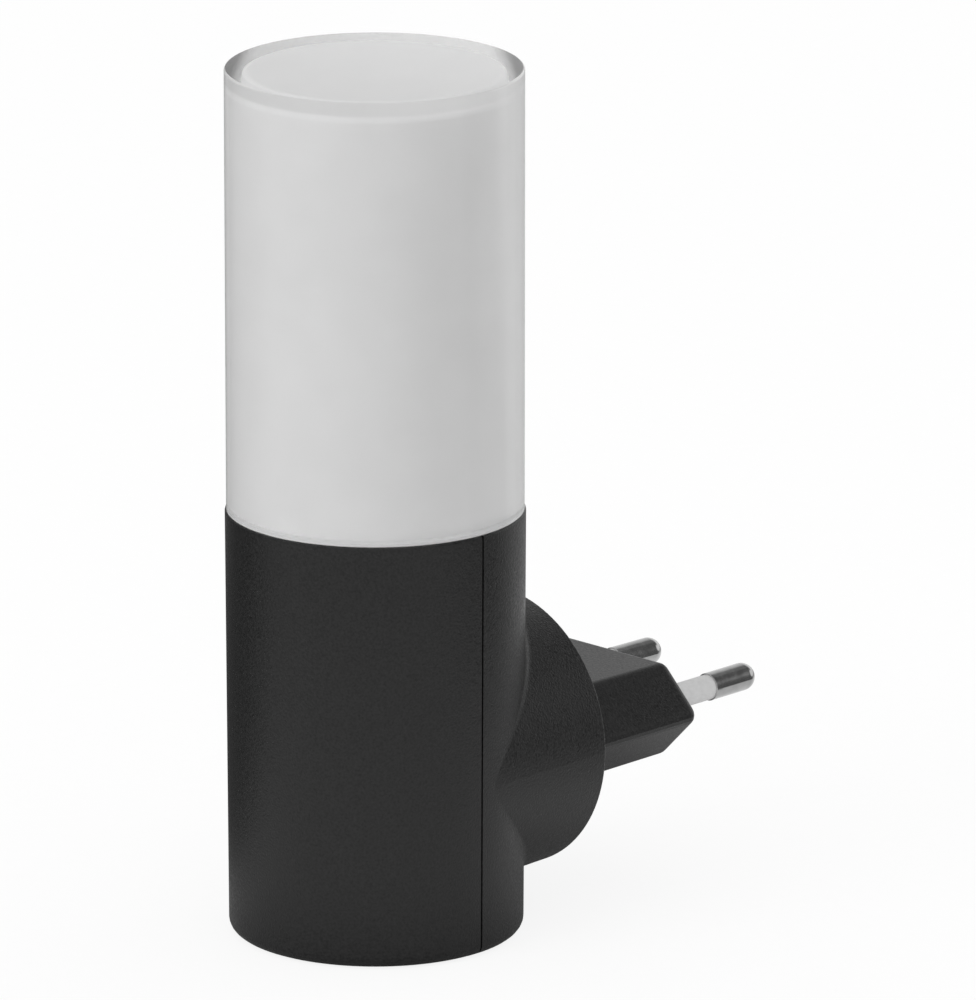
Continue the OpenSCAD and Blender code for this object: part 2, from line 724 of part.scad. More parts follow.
// The rocker: a shallow V outside, a trunnion on each side, and a hub that the plunger slides in
module switch_rocker() color("#19191a") tilted(pivot_z, rocker_tilt) difference() {
    union() {
        translate([-rocker_w / 2, 0, bezel_z]) rotate([90, 0, 90]) linear_extrude(rocker_w)
            polygon([[-rocker_len / 2, -rocker_proud], [0, rocker_dip], [rocker_len / 2, -rocker_proud],
                [rocker_len / 2, pivot_depth], [rocker_len / 4, rocker_deep], [-rocker_len / 4, rocker_deep],
                [-rocker_len / 2, pivot_depth]]);
        translate([-switch_w / 2 + fit, 0, pivot_z]) rotate([0, 90, 0]) cylinder(r = pivot_r, h = switch_w - 2 * fit);
        translate([0, 0, pivot_z]) cylinder(r = hub_r, h = hub_h);
    }
    translate([0, 0, pivot_z - well_deep]) cylinder(r = plunger_r + pivot_clear, h = well_deep + hub_h + over);
}

module switch_plunger() color("#e6e4dc") tilted(pivot_z, rocker_tilt) {
    translate([0, 0, pivot_z + plunger_reach - plunger_r]) sphere(r = plunger_r);
    translate([0, 0, pivot_z + plunger_tail]) cylinder(r = plunger_r, h = plunger_reach - plunger_tail - plunger_r);
    translate([0, 0, pivot_z + plunger_tail - plunger_stem]) cylinder(r = plunger_stem_r, h = plunger_stem);
}

// Coil of the switch's spring, one unbroken tube round the plunger's stem
module switch_spring() color("#9a9a9a") tilted(pivot_z, rocker_tilt) {
    low = pivot_z - well_deep + spring_wire / 2 + snug;
    high = pivot_z + plunger_tail - spring_wire / 2 - snug;
    rings = spring_turns * spring_turn_rings;
    sweep([for (i = [0:rings]) let (a = 360 * i / spring_turn_rings)
        [spring_r * cos(a), spring_r * sin(a), low + (high - low) * i / rings]], spring_wire / 2, 6);
}

// A wire that leaves both its ends straight, and curves through the points between
module wire(points) {
    last = len(points) - 1;
    between = [for (i = [1:last - 1]) points[i]];
    sweep(concat([points[0]], through(between, wire_steps), [points[last]]), wire_r, wire_sides);
}

// Places that the wires run between
stub_x = pin_gap / 2 + pin_back * sin(pin_lean);
stub_y = plug_y - pin_back * cos(pin_lean) - stub_r * sin(pin_lean);
pad_x = board_w * mains_pad_share[0];
pad_z = board_z + board_h * mains_pad_share[1];
led_pad_z = board_z + board_h * led_pad_share;
led_pad_y = led_slot_y - led_slot[1] / 2 - 2 * wire_r;

module live_wire() color("#8a5a3a") wire([[stub_x, stub_y, pin_z], [stub_x, stub_y - wire_lead, pin_z],
    [stub_x - wire_lead, web_y, pin_z], [stub_x / 2, web_y / 2, pin_z + wire_lead],
    [0, contact_y, pin_z + 2 * wire_lead], [0, 0, terminal_top + 2 * wire_lead],
    [0, 0, terminal_top + wire_lead], [0, 0, terminal_top]]);

module neutral_wire() color("#3a5f9a") wire([[-stub_x, stub_y, pin_z], [-stub_x, stub_y - wire_lead, pin_z],
    [-stub_x, web_y, pin_z], [-pad_x, board_front + coil_len + wire_lead, pad_z],
    [-pad_x, board_front + coil_len / 2, pad_z], [-pad_x, board_front + wire_lead, pad_z],
    [-pad_x, board_front, pad_z]]);

module switched_wire() color("#1d1d1d") wire([[0, contact_y, terminal_top],
    [0, contact_y, terminal_top + wire_lead], [pad_x / 2, contact_y + wire_lead, pad_z],
    [pad_x, contact_y, pad_z], [pad_x, board_front + wire_lead, pad_z], [pad_x, board_front, pad_z]]);

module led_wire(x) {
    wire([[x, -board_y, led_pad_z], [x, -board_y - led_lead, led_pad_z],
        [x, -led_slot_y, flange_z + led_lead], [x, -led_slot_y, drum_top],
        [x, -led_slot_y, led_z + led_lead], [x, -(led_slot_y + led_pad_y) / 2, led_z + led_lead + led_loop / 2],
        [x, -led_pad_y, led_z + led_lead], [x, -led_pad_y, led_z]]);
}

module led_wire_positive() color("#b03030") led_wire(led_wire_x);
module led_wire_negative() color("#222222") led_wire(-led_wire_x);

front_shell();
rear_shell();
bottom_plate();
clear_shade();
opal_liner();
led_carrier();
led_board();
led_chips();
led_screws();
plug_body();
plug_screws();
pin_retainer();
contact_pin_left();
contact_pin_right();
pin_sleeve_left();
pin_sleeve_right();
driver_board();
film_capacitor();
smoothing_capacitor();
power_inductor();
bridge_rectifier();
driver_chip();
fuse_resistor();
switch_housing();
switch_terminals();
switch_blade();
switch_rocker();
switch_plunger();
switch_spring();
live_wire();
neutral_wire();
switched_wire();
led_wire_positive();
led_wire_negative();
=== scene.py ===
"""Plug-in night light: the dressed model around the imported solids."""
import math

import bmesh
import bpy
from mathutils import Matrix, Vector


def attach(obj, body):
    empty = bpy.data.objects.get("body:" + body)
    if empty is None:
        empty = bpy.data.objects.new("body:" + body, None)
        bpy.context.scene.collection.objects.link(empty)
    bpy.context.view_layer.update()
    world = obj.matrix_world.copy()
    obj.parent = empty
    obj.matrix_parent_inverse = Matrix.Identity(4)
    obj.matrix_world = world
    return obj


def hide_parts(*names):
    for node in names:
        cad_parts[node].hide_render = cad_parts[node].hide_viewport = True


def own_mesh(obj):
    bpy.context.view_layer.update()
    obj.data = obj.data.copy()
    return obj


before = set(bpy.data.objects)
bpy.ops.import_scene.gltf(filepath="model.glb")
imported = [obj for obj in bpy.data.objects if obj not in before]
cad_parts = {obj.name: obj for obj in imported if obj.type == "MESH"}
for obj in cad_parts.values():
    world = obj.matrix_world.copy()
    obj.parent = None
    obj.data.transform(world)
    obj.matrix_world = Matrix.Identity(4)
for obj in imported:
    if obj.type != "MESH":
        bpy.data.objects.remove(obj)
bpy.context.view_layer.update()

MM = 0.001

# Sizes of the real parts in millimetres, as in the solids
BODY_R, FOOT_R, BASE_H = 21.0, 20.7, 61.0
TOP_Z = 124.0
SHADE_R, SHADE_WALL, SHADE_TOP, SHADE_EDGE = 20.8, 2.7, 2.6, 0.4
SHADE_GAP = 0.05
# The liner's foot reaches out under the clear wall, and a clear lip stands around it
FLANGE_H, CLEAR_LIP = 0.3, 0.3
LINER_WALL, LINER_EDGE, SPIGOT = 1.6, 1.0, 8.0
LINER_R = SHADE_R - SHADE_WALL
LINER_TOP = TOP_Z - SHADE_TOP
BEAD_OUT, BEAD_LOW, BEAD_H = 0.7, 1.2, 1.6
PLUG_Z, BOSS_Y = 24.0, 25.8
BOSS_ROOT_R, BOSS_R = 20.7, 20.0
# The liner stands this much into the shade's bore, so that the two read as one bonded wall
BOND = 0.04
# Steps round a turned form, and along the round edges of the shade and the liner
SEGMENTS, SHADE_STEPS, LINER_STEPS = 192, 8, 10
# Points nearer than this are one, in millimetres
WELD = 0.002
# Edges sharper than this stay sharp, in degrees
SHARP = 35


# Geometry helpers

def mesh_object(name, verts, faces):
    """A mesh in millimetres as an object at the origin, in metres."""
    mesh = bpy.data.meshes.new(name)
    mesh.from_pydata([Vector(v) * MM for v in verts], [], faces)
    mesh.validate()
    obj = bpy.data.objects.new(name, mesh)
    bpy.context.scene.collection.objects.link(obj)
    return obj


def smooth_by_angle(obj, degrees=SHARP):
    """Smooth faces, but for edges sharper than the angle."""
    mesh = obj.data
    mesh.polygons.foreach_set("use_smooth", [True] * len(mesh.polygons))
    shape = bmesh.new()
    shape.from_mesh(mesh)
    for edge in shape.edges:
        flat = len(edge.link_faces) != 2 or edge.calc_face_angle(0) < math.radians(degrees)
        edge.smooth = flat
    shape.to_mesh(mesh)
    shape.free()


def outward(obj):
    """Weld doubles and turn every face outwards."""
    shape = bmesh.new()
    shape.from_mesh(obj.data)
    bmesh.ops.remove_doubles(shape, verts=shape.verts, dist=WELD * MM)
    bmesh.ops.recalc_face_normals(shape, faces=shape.faces)
    shape.to_mesh(obj.data)
    shape.free()


def arc(centre, radius, start, end, steps):
    """Points of an arc in a profile plane, angles in degrees."""
    out = []
    for i in range(steps + 1):
        a = math.radians(start + (end - start) * i / steps)
        out.append((centre[0] + radius * math.cos(a), centre[1] + radius * math.sin(a)))
    return out


# Node helpers

def add(tree, kind, links=None, **settings):
    """A node of that kind. Settings are its properties or, by socket name, its values, and links feed
    its sockets."""
    node = tree.nodes.new(kind)
    for key, value in settings.items():
        if hasattr(node, key):
            setattr(node, key, value)
        else:
            node.inputs[key.replace("_", " ")].default_value = value
    for socket, source in (links or {}).items():
        tree.links.new(source, node.inputs[socket])
    return node


def shape_tree(name, inputs):
    """An empty geometry tree with one geometry in, one out, and named sizes."""
    tree = bpy.data.node_groups.new(name, "GeometryNodeTree")
    tree.interface.new_socket("Geometry", in_out="INPUT", socket_type="NodeSocketGeometry")
    for label, kind, default in inputs:
        socket = tree.interface.new_socket(label, in_out="INPUT", socket_type=kind)
        socket.default_value = default
    tree.interface.new_socket("Geometry", in_out="OUTPUT", socket_type="NodeSocketGeometry")
    return tree


def grow(obj, tree, values, material):
    """Run the tree on the object, and keep the result as a plain mesh."""
    modifier = obj.modifiers.new(tree.name, "NODES")
    modifier.node_group = tree
    for item in tree.interface.items_tree:
        if item.in_out == "INPUT" and item.name in values:
            modifier[item.identifier] = values[item.name]
        if item.in_out == "INPUT" and item.socket_type == "NodeSocketMaterial":
            modifier[item.identifier] = material
    bpy.context.view_layer.update()
    done = obj.evaluated_get(bpy.context.evaluated_depsgraph_get())
    mesh = bpy.data.meshes.new_from_object(done)
    obj.modifiers.remove(modifier)
    obj.data = mesh
    mesh.name = obj.name


def turning_tree():
    """Turns an outline, given as a chain of points in the XZ plane, about the Z axis."""
    tree = shape_tree("turned_form", [("Segments", "NodeSocketInt", SEGMENTS),
                                      ("Weld", "NodeSocketFloat", 1e-6),
                                      ("Material", "NodeSocketMaterial", None)])
    given = add(tree, "NodeGroupInput")
    size = add(tree, "GeometryNodeAttributeDomainSize", {"Geometry": given.outputs["Geometry"]})
    steps = add(tree, "ShaderNodeMath", {0: given.outputs["Segments"]}, operation="ADD")
    steps.inputs[1].default_value = 1
    grid = add(tree, "GeometryNodeMeshGrid", {"Vertices X": size.outputs["Point Count"],
                                              "Vertices Y": steps.outputs[0]})
    index = add(tree, "GeometryNodeInputIndex")
    row = add(tree, "ShaderNodeMath", {0: index.outputs[0], 1: steps.outputs[0]}, operation="DIVIDE")
    row = add(tree, "ShaderNodeMath", {0: row.outputs[0]}, operation="FLOOR")
    turn = add(tree, "ShaderNodeMath", {0: index.outputs[0], 1: steps.outputs[0]},
               operation="FLOORED_MODULO")
    turn = add(tree, "ShaderNodeMath", {0: turn.outputs[0], 1: given.outputs["Segments"]},
               operation="DIVIDE")
    turn = add(tree, "ShaderNodeMath", {0: turn.outputs[0]}, operation="MULTIPLY")
    turn.inputs[1].default_value = 2 * math.pi
    place = add(tree, "GeometryNodeInputPosition")
    point = add(tree, "GeometryNodeSampleIndex", data_type="FLOAT_VECTOR", domain="POINT")
    tree.links.new(given.outputs["Geometry"], point.inputs["Geometry"])
    tree.links.new(place.outputs[0], point.inputs["Value"])
    tree.links.new(row.outputs[0], point.inputs["Index"])
    turned = add(tree, "ShaderNodeVectorRotate", {"Vector": point.outputs[0], "Angle": turn.outputs[0]},
                 rotation_type="Z_AXIS")
    moved = add(tree, "GeometryNodeSetPosition", {"Geometry": grid.outputs[0],
                                                  "Position": turned.outputs[0]})
    welded = add(tree, "GeometryNodeMergeByDistance", {"Geometry": moved.outputs[0],
                                                       "Distance": given.outputs["Weld"]})
    real = add(tree, "GeometryNodeRealizeInstances", {"Geometry": welded.outputs[0]})
    painted = add(tree, "GeometryNodeSetMaterial", {"Geometry": real.outputs[0],
                                                    "Material": given.outputs["Material"]})
    add(tree, "NodeGroupOutput", {"Geometry": painted.outputs[0]})
    return tree


# Steps in a turn of a coil, and round its wire
COIL_STEPS, WIRE_STEPS = 40, 12


def coil_tree():
    """A round wire wound into a helix about the Z axis."""
    tree = shape_tree("wound_wire", [("Turns", "NodeSocketFloat", 3.0),
                                     ("Radius", "NodeSocketFloat", 1.0 * MM),
                                     ("Height", "NodeSocketFloat", 2.0 * MM),
                                     ("Wire", "NodeSocketFloat", 0.15 * MM),
                                     ("Material", "NodeSocketMaterial", None)])
    given = add(tree, "NodeGroupInput")
    helix = add(tree, "GeometryNodeCurveSpiral", {"Rotations": given.outputs["Turns"],
                                                  "Start Radius": given.outputs["Radius"],
                                                  "End Radius": given.outputs["Radius"],
                                                  "Height": given.outputs["Height"]},
                Resolution=COIL_STEPS)
    ring = add(tree, "GeometryNodeCurvePrimitiveCircle", {"Radius": given.outputs["Wire"]},
               Resolution=WIRE_STEPS)
    tube = add(tree, "GeometryNodeCurveToMesh", {"Curve": helix.outputs[0],
                                                 "Profile Curve": ring.outputs[0]})
    tube.inputs["Fill Caps"].default_value = True
    real = add(tree, "GeometryNodeRealizeInstances", {"Geometry": tube.outputs[0]})
    painted = add(tree, "GeometryNodeSetMaterial", {"Geometry": real.outputs[0],
                                                    "Material": given.outputs["Material"]})
    add(tree, "NodeGroupOutput", {"Geometry": painted.outputs[0]})
    return tree


# Finishes

# The part of a noise's range that its colours and its roughness spread over
NOISE_LOW, NOISE_HIGH = 0.3, 0.7


def linear(code):
    """An sRGB hex value as linear colour."""
    out = []
    for i in (1, 3, 5):
        v = int(code[i:i + 2], 16) / 255
        out.append(v / 12.92 if v <= 0.04045 else ((v + 0.055) / 1.055) ** 2.4)
    return (*out, 1.0)


def finish(name, dark, light, patch_mm, rough, grain_mm=0.0, depth_mm=0.0, metallic=0.0, ior=1.5,
           **shader):
    """A moulded, drawn or printed surface. Its colour wanders between two values over patches of a
    real size, its roughness with it, and its grain, if any, is a bump of real pitch and depth."""
    material = bpy.data.materials.new(name)
    material.use_nodes = True
    tree = material.node_tree
    tree.nodes.clear()
    place = add(tree, "ShaderNodeTexCoord")
    patches = add(tree, "ShaderNodeTexNoise", {"Vector": place.outputs["Object"]},
                  Scale=1 / (patch_mm * MM), Detail=3.0)
    ramp = add(tree, "ShaderNodeValToRGB", {"Fac": patches.outputs["Fac"]})
    low, high = ramp.color_ramp.elements
    low.position, high.position = NOISE_LOW, NOISE_HIGH
    low.color, high.color = linear(dark), linear(light)
    gloss = add(tree, "ShaderNodeMapRange", {"Value": patches.outputs["Fac"]})
    for socket, value in zip(("From Min", "From Max", "To Min", "To Max"),
                             (NOISE_LOW, NOISE_HIGH, *rough)):
        gloss.inputs[socket].default_value = value
    surface = add(tree, "ShaderNodeBsdfPrincipled", {"Base Color": ramp.outputs["Color"],
                                                     "Roughness": gloss.outputs["Result"]})
    surface.inputs["Metallic"].default_value = metallic
    if not metallic:
        surface.inputs["IOR"].default_value = ior
    for key, value in shader.items():
        surface.inputs[key.replace("_", " ")].default_value = value
    if grain_mm:
        grain = add(tree, "ShaderNodeTexNoise", {"Vector": place.outputs["Object"]},
                    Scale=1 / (grain_mm * MM), Detail=2.0)
        bump = add(tree, "ShaderNodeBump", {"Height": grain.outputs["Fac"]}, Distance=depth_mm * MM)
        tree.links.new(bump.outputs["Normal"], surface.inputs["Normal"])
    add(tree, "ShaderNodeOutputMaterial", {"Surface": surface.outputs["BSDF"]})
    return material


def let_lamps_through(material):
    """Clear plastic casts no hard shadow: rays on their way to a lamp pass it."""
    tree = material.node_tree
    path = add(tree, "ShaderNodeLightPath")
    open_air = add(tree, "ShaderNodeBsdfTransparent")
    both = add(tree, "ShaderNodeMixShader", {0: path.outputs["Is Shadow Ray"],
                                             1: tree.nodes["Principled BSDF"].outputs["BSDF"],
                                             2: open_air.outputs[0]})
    tree.links.new(both.outputs[0], tree.nodes["Material Output"].inputs["Surface"])


# Charcoal ABS from a spark-eroded mould: a matte, faintly speckled skin. Such a grain is nearer 0.1 mm
# apart, too fine to show, so it is drawn 0.3 mm apart.
ABS_GRAINED = finish("abs_charcoal_spark_eroded", "#010101", "#1f1f1f", 0.35, (0.28, 0.54), 0.3, 0.08)
# The same ABS from a finer mould on the plug's block, a little tighter in its shine
ABS_FINE = finish("abs_charcoal_fine_matte", "#070707", "#1f1f1f", 0.35, (0.34, 0.48), 0.3, 0.04)
# Polyamide of the switch, smoother and blacker than the housing
PA_BLACK = finish("polyamide_black_moulded", "#0b0b0c", "#111112", 1.5, (0.3, 0.38), 0.6, 0.004)
# Acrylic, moulded and a little hazed: clear, with soft reflections and no tint
PMMA_CLEAR = finish("acrylic_clear_moulded", "#fbfbfb", "#ffffff", 12, (0.1, 0.14), ior=1.49,
                    Transmission_Weight=1.0)
let_lamps_through(PMMA_CLEAR)
# Acrylic filled with white, from a blasted mould: an even pale grey without a sharp reflection
PMMA_OPAL = finish("acrylic_opal_satin_moulded", "#f2f2f2", "#f4f4f4", 6, (0.5, 0.58), 0.8, 0.004,
                   ior=1.49)
# Brass pins under nickel, drawn and turned: a neutral grey with a soft long highlight
NICKEL = finish("brass_nickel_plated", "#b5b5b5", "#c3c3c3", 1.2, (0.12, 0.2), metallic=1.0)
# Polyamide sleeves, moulded smooth, pale grey
PA_SLEEVE = finish("polyamide_pale_grey_moulded", "#c3c3c3", "#cdcdcd", 1.0, (0.4, 0.5), 0.6, 0.003)
# Zinc plated steel screws
ZINC = finish("steel_zinc_plated", "#9b9c9d", "#b4b5b6", 0.6, (0.28, 0.4), metallic=1.0)
# Hard-drawn spring steel
SPRING = finish("steel_spring_drawn", "#85868a", "#9fa0a4", 0.3, (0.2, 0.3), metallic=1.0)
# Rolled brass of the terminals
BRASS = finish("brass_rolled", "#b7a26a", "#c9b57c", 1.0, (0.25, 0.36), metallic=1.0)
# Rolled copper alloy of the contact blade
COPPER = finish("copper_alloy_rolled", "#b37a54", "#c78d64", 0.8, (0.25, 0.35), metallic=1.0)
# Cream PBT of the retainer, moulded matt
PBT_CREAM = finish("pbt_cream_moulded", "#c2bfb3", "#cdcabf", 2.0, (0.45, 0.55), 0.5, 0.004)
# White polycarbonate of the light source's carrier, moulded satin
PC_WHITE = finish("polycarbonate_white_moulded", "#e2e2de", "#ebebe8", 4.0, (0.4, 0.5), 0.6, 0.003)
# White solder mask, printed and cured to a soft gloss
MASK_WHITE = finish("solder_mask_white_printed", "#e9e9e5", "#f1f1ee", 2.0, (0.3, 0.4), 0.4, 0.003)
# Green solder mask over glass cloth: the weave shows as a faint 0.4 mm mottle
MASK_GREEN = finish("solder_mask_green_printed", "#27633d", "#2f7548", 0.5, (0.28, 0.38), 0.4, 0.006)
# Silicone with phosphor over the diodes: dense yellow, soft gloss
PHOSPHOR = finish("silicone_phosphor_yellow_cast", "#d9c24a", "#e6d35e", 0.4, (0.3, 0.4), 0.3, 0.004)
# Dipped epoxy coat of the film capacitor
EPOXY_OCHRE = finish("epoxy_ochre_dipped", "#b98f2e", "#c79d3a", 1.5, (0.3, 0.42), 0.8, 0.01)
# Heat-shrunk PVC sleeve of the can, with a gloss
PVC_BLUE = finish("pvc_blue_shrunk", "#2f3d75", "#384883", 2.0, (0.2, 0.3), 1.2, 0.004)
# Pressed and fired ferrite, dark and matt
FERRITE = finish("ferrite_fired", "#2b2827", "#3a3634", 0.4, (0.55, 0.7), 0.2, 0.01)
# Transfer moulded epoxy of chip and rectifier, blasted matt
EPOXY_BLACK = finish("epoxy_black_blasted", "#1a1a1a", "#242424", 0.3, (0.5, 0.62), 0.15, 0.006)
# Fireproof lacquer of the resistor
LACQUER_GREEN = finish("lacquer_green_dipped", "#4f7d5d", "#5c8a6a", 0.8, (0.4, 0.5), 0.5, 0.006)
# White acetal of the plunger, slippery and faintly waxy
ACETAL = finish("acetal_white_moulded", "#dddbd3", "#e6e4dc", 0.8, (0.3, 0.4), 0.4, 0.003)


def pvc_wire(name, dark, light):
    """Extruded PVC insulation: even colour, silky, with faint drag marks."""
    return finish(name, dark, light, 0.8, (0.32, 0.42), 0.25, 0.004)


NODE_FINISH = {
    "front_shell": ABS_GRAINED, "rear_shell": ABS_GRAINED, "bottom_plate": ABS_FINE,
    "clear_shade": PMMA_CLEAR, "opal_liner": PMMA_OPAL, "led_carrier": PC_WHITE, "led_board": MASK_WHITE,
    "led_chips": PHOSPHOR, "led_screws": ZINC, "plug_body": ABS_FINE, "plug_screws": ZINC,
    "pin_retainer": PBT_CREAM, "contact_pin_left": NICKEL, "contact_pin_right": NICKEL,
    "pin_sleeve_left": PA_SLEEVE, "pin_sleeve_right": PA_SLEEVE, "driver_board": MASK_GREEN,
    "film_capacitor": EPOXY_OCHRE, "smoothing_capacitor": PVC_BLUE, "power_inductor": FERRITE,
    "bridge_rectifier": EPOXY_BLACK, "driver_chip": EPOXY_BLACK, "fuse_resistor": LACQUER_GREEN,
    "switch_housing": PA_BLACK, "switch_terminals": BRASS, "switch_blade": COPPER,
    "switch_rocker": PA_BLACK, "switch_plunger": ACETAL, "switch_spring": SPRING,
    "live_wire": pvc_wire("pvc_brown_extruded", "#7c4f30", "#8a5a3a"),
    "neutral_wire": pvc_wire("pvc_blue_extruded", "#34578f", "#3a5f9a"),
    "switched_wire": pvc_wire("pvc_black_extruded", "#151515", "#1d1d1d"),
    "led_wire_positive": pvc_wire("pvc_red_extruded", "#a32a2a", "#b03030"),
    "led_wire_negative": pvc_wire("pvc_black_thin_extruded", "#181818", "#222222"),
}
for label, material in NODE_FINISH.items():
    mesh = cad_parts[label].data
    mesh.materials.clear()
    mesh.materials.append(material)


# Shade and liner, turned from their outlines

TURNED = turning_tree()


def turned(name, outline, material, segments=SEGMENTS):
    """An outline turned about Z, closed at its own axis points or round on itself."""
    obj = mesh_object(name, [(r, 0.0, z) for r, z in outline], [])
    grow(obj, TURNED, {"Segments": segments}, material)
    outward(obj)
    smooth_by_angle(obj)
    return obj


shade_foot = BASE_H + SHADE_GAP
shade_low = shade_foot + FLANGE_H
shade_outline = (
    [(0.0, TOP_Z)]
    + arc((SHADE_R - SHADE_EDGE, TOP_Z - SHADE_EDGE), SHADE_EDGE, 90, 0, SHADE_STEPS)
    + [(SHADE_R, shade_foot), (SHADE_R - CLEAR_LIP, shade_foot), (SHADE_R - CLEAR_LIP, shade_low),
       (LINER_R, shade_low)]
    + arc((LINER_R - LINER_EDGE, LINER_TOP - LINER_EDGE), LINER_EDGE, 0, 90, LINER_STEPS)
    + [(0.0, LINER_TOP)]
)
shade = turned("shade_cover", shade_outline, PMMA_CLEAR)
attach(shade, "housing")
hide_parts("clear_shade")

liner_z = BASE_H - SPIGOT
bead_z = liner_z + BEAD_LOW
liner_outline = (
    [(0.0, LINER_TOP + BOND)]
    + arc((LINER_R - LINER_EDGE, LINER_TOP - LINER_EDGE), LINER_EDGE + BOND, 90, 0, LINER_STEPS)
    + [(LINER_R + BOND, shade_low + BOND), (SHADE_R - CLEAR_LIP + BOND, shade_low + BOND),
       (SHADE_R - CLEAR_LIP + BOND, shade_foot), (LINER_R, shade_foot), (LINER_R, bead_z + BEAD_H),
       (LINER_R + BEAD_OUT, bead_z + BEAD_H), (LINER_R + BEAD_OUT, bead_z + BEAD_H / 2),
       (LINER_R, bead_z), (LINER_R, liner_z), (LINER_R - LINER_WALL, liner_z),
       (LINER_R - LINER_WALL, LINER_TOP - LINER_WALL), (0.0, LINER_TOP - LINER_WALL)]
)
liner = turned("diffuser_liner", liner_outline, PMMA_OPAL)
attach(liner, "housing")
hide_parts("opal_liner")


# The moulded fillet in the crease between body and boss, as a ball that rolls along both leaves it. Its
# radius is smaller underneath.

FILLET_TOP, FILLET_LOW = 2.0, 1.2
FILLET_STATIONS, FILLET_STEPS = 120, 8
# How far the fillet's back reaches into the walls, and how often the ball's place is worked out anew
FILLET_SUNK, FILLET_ROUNDS = 0.2, 12


def fillet_ring(angle):
    """Points of one cross-section, in millimetres: the round face from body to boss, and the buried
    back."""
    rho = FILLET_LOW + (FILLET_TOP - FILLET_LOW) * (1 + math.cos(angle)) / 2
    y = BODY_R
    for _ in range(FILLET_ROUNDS):
        boss = BOSS_ROOT_R + (BOSS_R - BOSS_ROOT_R) * y / BOSS_Y
        x, z = (boss + rho) * math.sin(angle), PLUG_Z + (boss + rho) * math.cos(angle)
        body = FOOT_R + (BODY_R - FOOT_R) * z / BASE_H
        y = math.sqrt((body + rho) ** 2 - x ** 2)
    ball = Vector((x, y, z))
    to_body = Vector((-x, -y, 0)).normalized()
    to_boss = Vector((-math.sin(angle), 0, -math.cos(angle)))
    face = [ball + to_body.slerp(to_boss, i / FILLET_STEPS) * rho for i in range(FILLET_STEPS + 1)]
    middle = (to_body + to_boss).normalized()
    return face + [ball + middle * (rho / middle.dot(to_body) + FILLET_SUNK)]


rings = [fillet_ring(2 * math.pi * i / FILLET_STATIONS) for i in range(FILLET_STATIONS)]
across = FILLET_STEPS + 2
fillet = mesh_object("crease_fillet", [point for ring in rings for point in ring],
                     [(i * across + k, i * across + (k + 1) % across,
                       (i + 1) % FILLET_STATIONS * across + (k + 1) % across,
                       (i + 1) % FILLET_STATIONS * across + k)
                      for i in range(FILLET_STATIONS) for k in range(across)])
fillet.data.materials.append(ABS_GRAINED)
outward(fillet)
smooth_by_angle(fillet)
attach(fillet, "housing")


# Lips inside the joint of the two shells, which keep the gap dark where the tongue has no room: at the
# rim and through the ring of the foot. They stay under the skin and follow its round at the foot.

FOOT_ROUND, FOOT_IN_R, FOOT_STEPS = 1.6, 15.9, 6
LIP_DEPTH, LIP_BACK, LIP_T, LIP_INSET = 0.6, 0.95, 0.28, 0.5
LIP_LOW, LIP_FOOT_TOP, LIP_TOP = 0.2, 2.9, BASE_H - 0.4
foot_centre = (FOOT_R - FOOT_ROUND, FOOT_ROUND)
lip_outline = (
    [(FOOT_IN_R + LIP_INSET, LIP_LOW), (foot_centre[0], LIP_LOW)]
    + arc(foot_centre, FOOT_ROUND - LIP_DEPTH, -60, 0, FOOT_STEPS)
    + [(BODY_R - LIP_DEPTH, LIP_TOP), (BODY_R - LIP_BACK, LIP_TOP), (FOOT_R - LIP_BACK, LIP_FOOT_TOP),
       (FOOT_IN_R + LIP_INSET, LIP_FOOT_TOP)]
)
count = len(lip_outline)
for label, side in (("left", -1), ("right", 1)):
    lip = mesh_object("joint_lip_" + label,
                      [(side * r, y, z) for y in (-LIP_T / 2, LIP_T / 2) for r, z in lip_outline],
                      [tuple(range(count)), tuple(range(count, 2 * count))]
                      + [(i, (i + 1) % count, count + (i + 1) % count, count + i) for i in range(count)])
    lip.data.materials.append(ABS_FINE)
    outward(lip)
    smooth_by_angle(lip)
    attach(lip, "housing")


# Metal shoulders of the pins, which close over the ends of the sleeves

PLUG_Y, PIN_Z = 47.8, PLUG_Z + 0.5
PIN_GAP, PIN_TIP_GAP, PIN_LEN, PIN_R = 19.0, 18.4, 19.0, 2.0
SLEEVE_R, SLEEVE_LEN = 1.825, 10.6
# A shoulder starts this far before the sleeve's end, and laps the bare pin by the other length
SHOULDER, SHOULDER_LAP = 0.8, 0.35
# Its bore lies inside the sleeve, its end stands proud, a short cone leads up to the pin's size, and it
# covers the pin by a hair
SHOULDER_SUNK, SHOULDER_PROUD, SHOULDER_CONE, SHOULDER_SKIN = 0.02, 0.04, 0.12, 0.004
SHOULDER_R = PIN_R + SHOULDER_SKIN
SHOULDER_SEGMENTS = 64
shoulder_low, shoulder_high = SLEEVE_LEN - SHOULDER, SLEEVE_LEN + SHOULDER_LAP
shoulder_in = SLEEVE_R - SHOULDER_SUNK
shoulder_outline = [
    (shoulder_in, shoulder_low), (SLEEVE_R + SHOULDER_PROUD, shoulder_low),
    (SHOULDER_R, shoulder_low + SHOULDER_CONE), (SHOULDER_R, shoulder_high),
    (shoulder_in, shoulder_high), (shoulder_in, shoulder_low)]
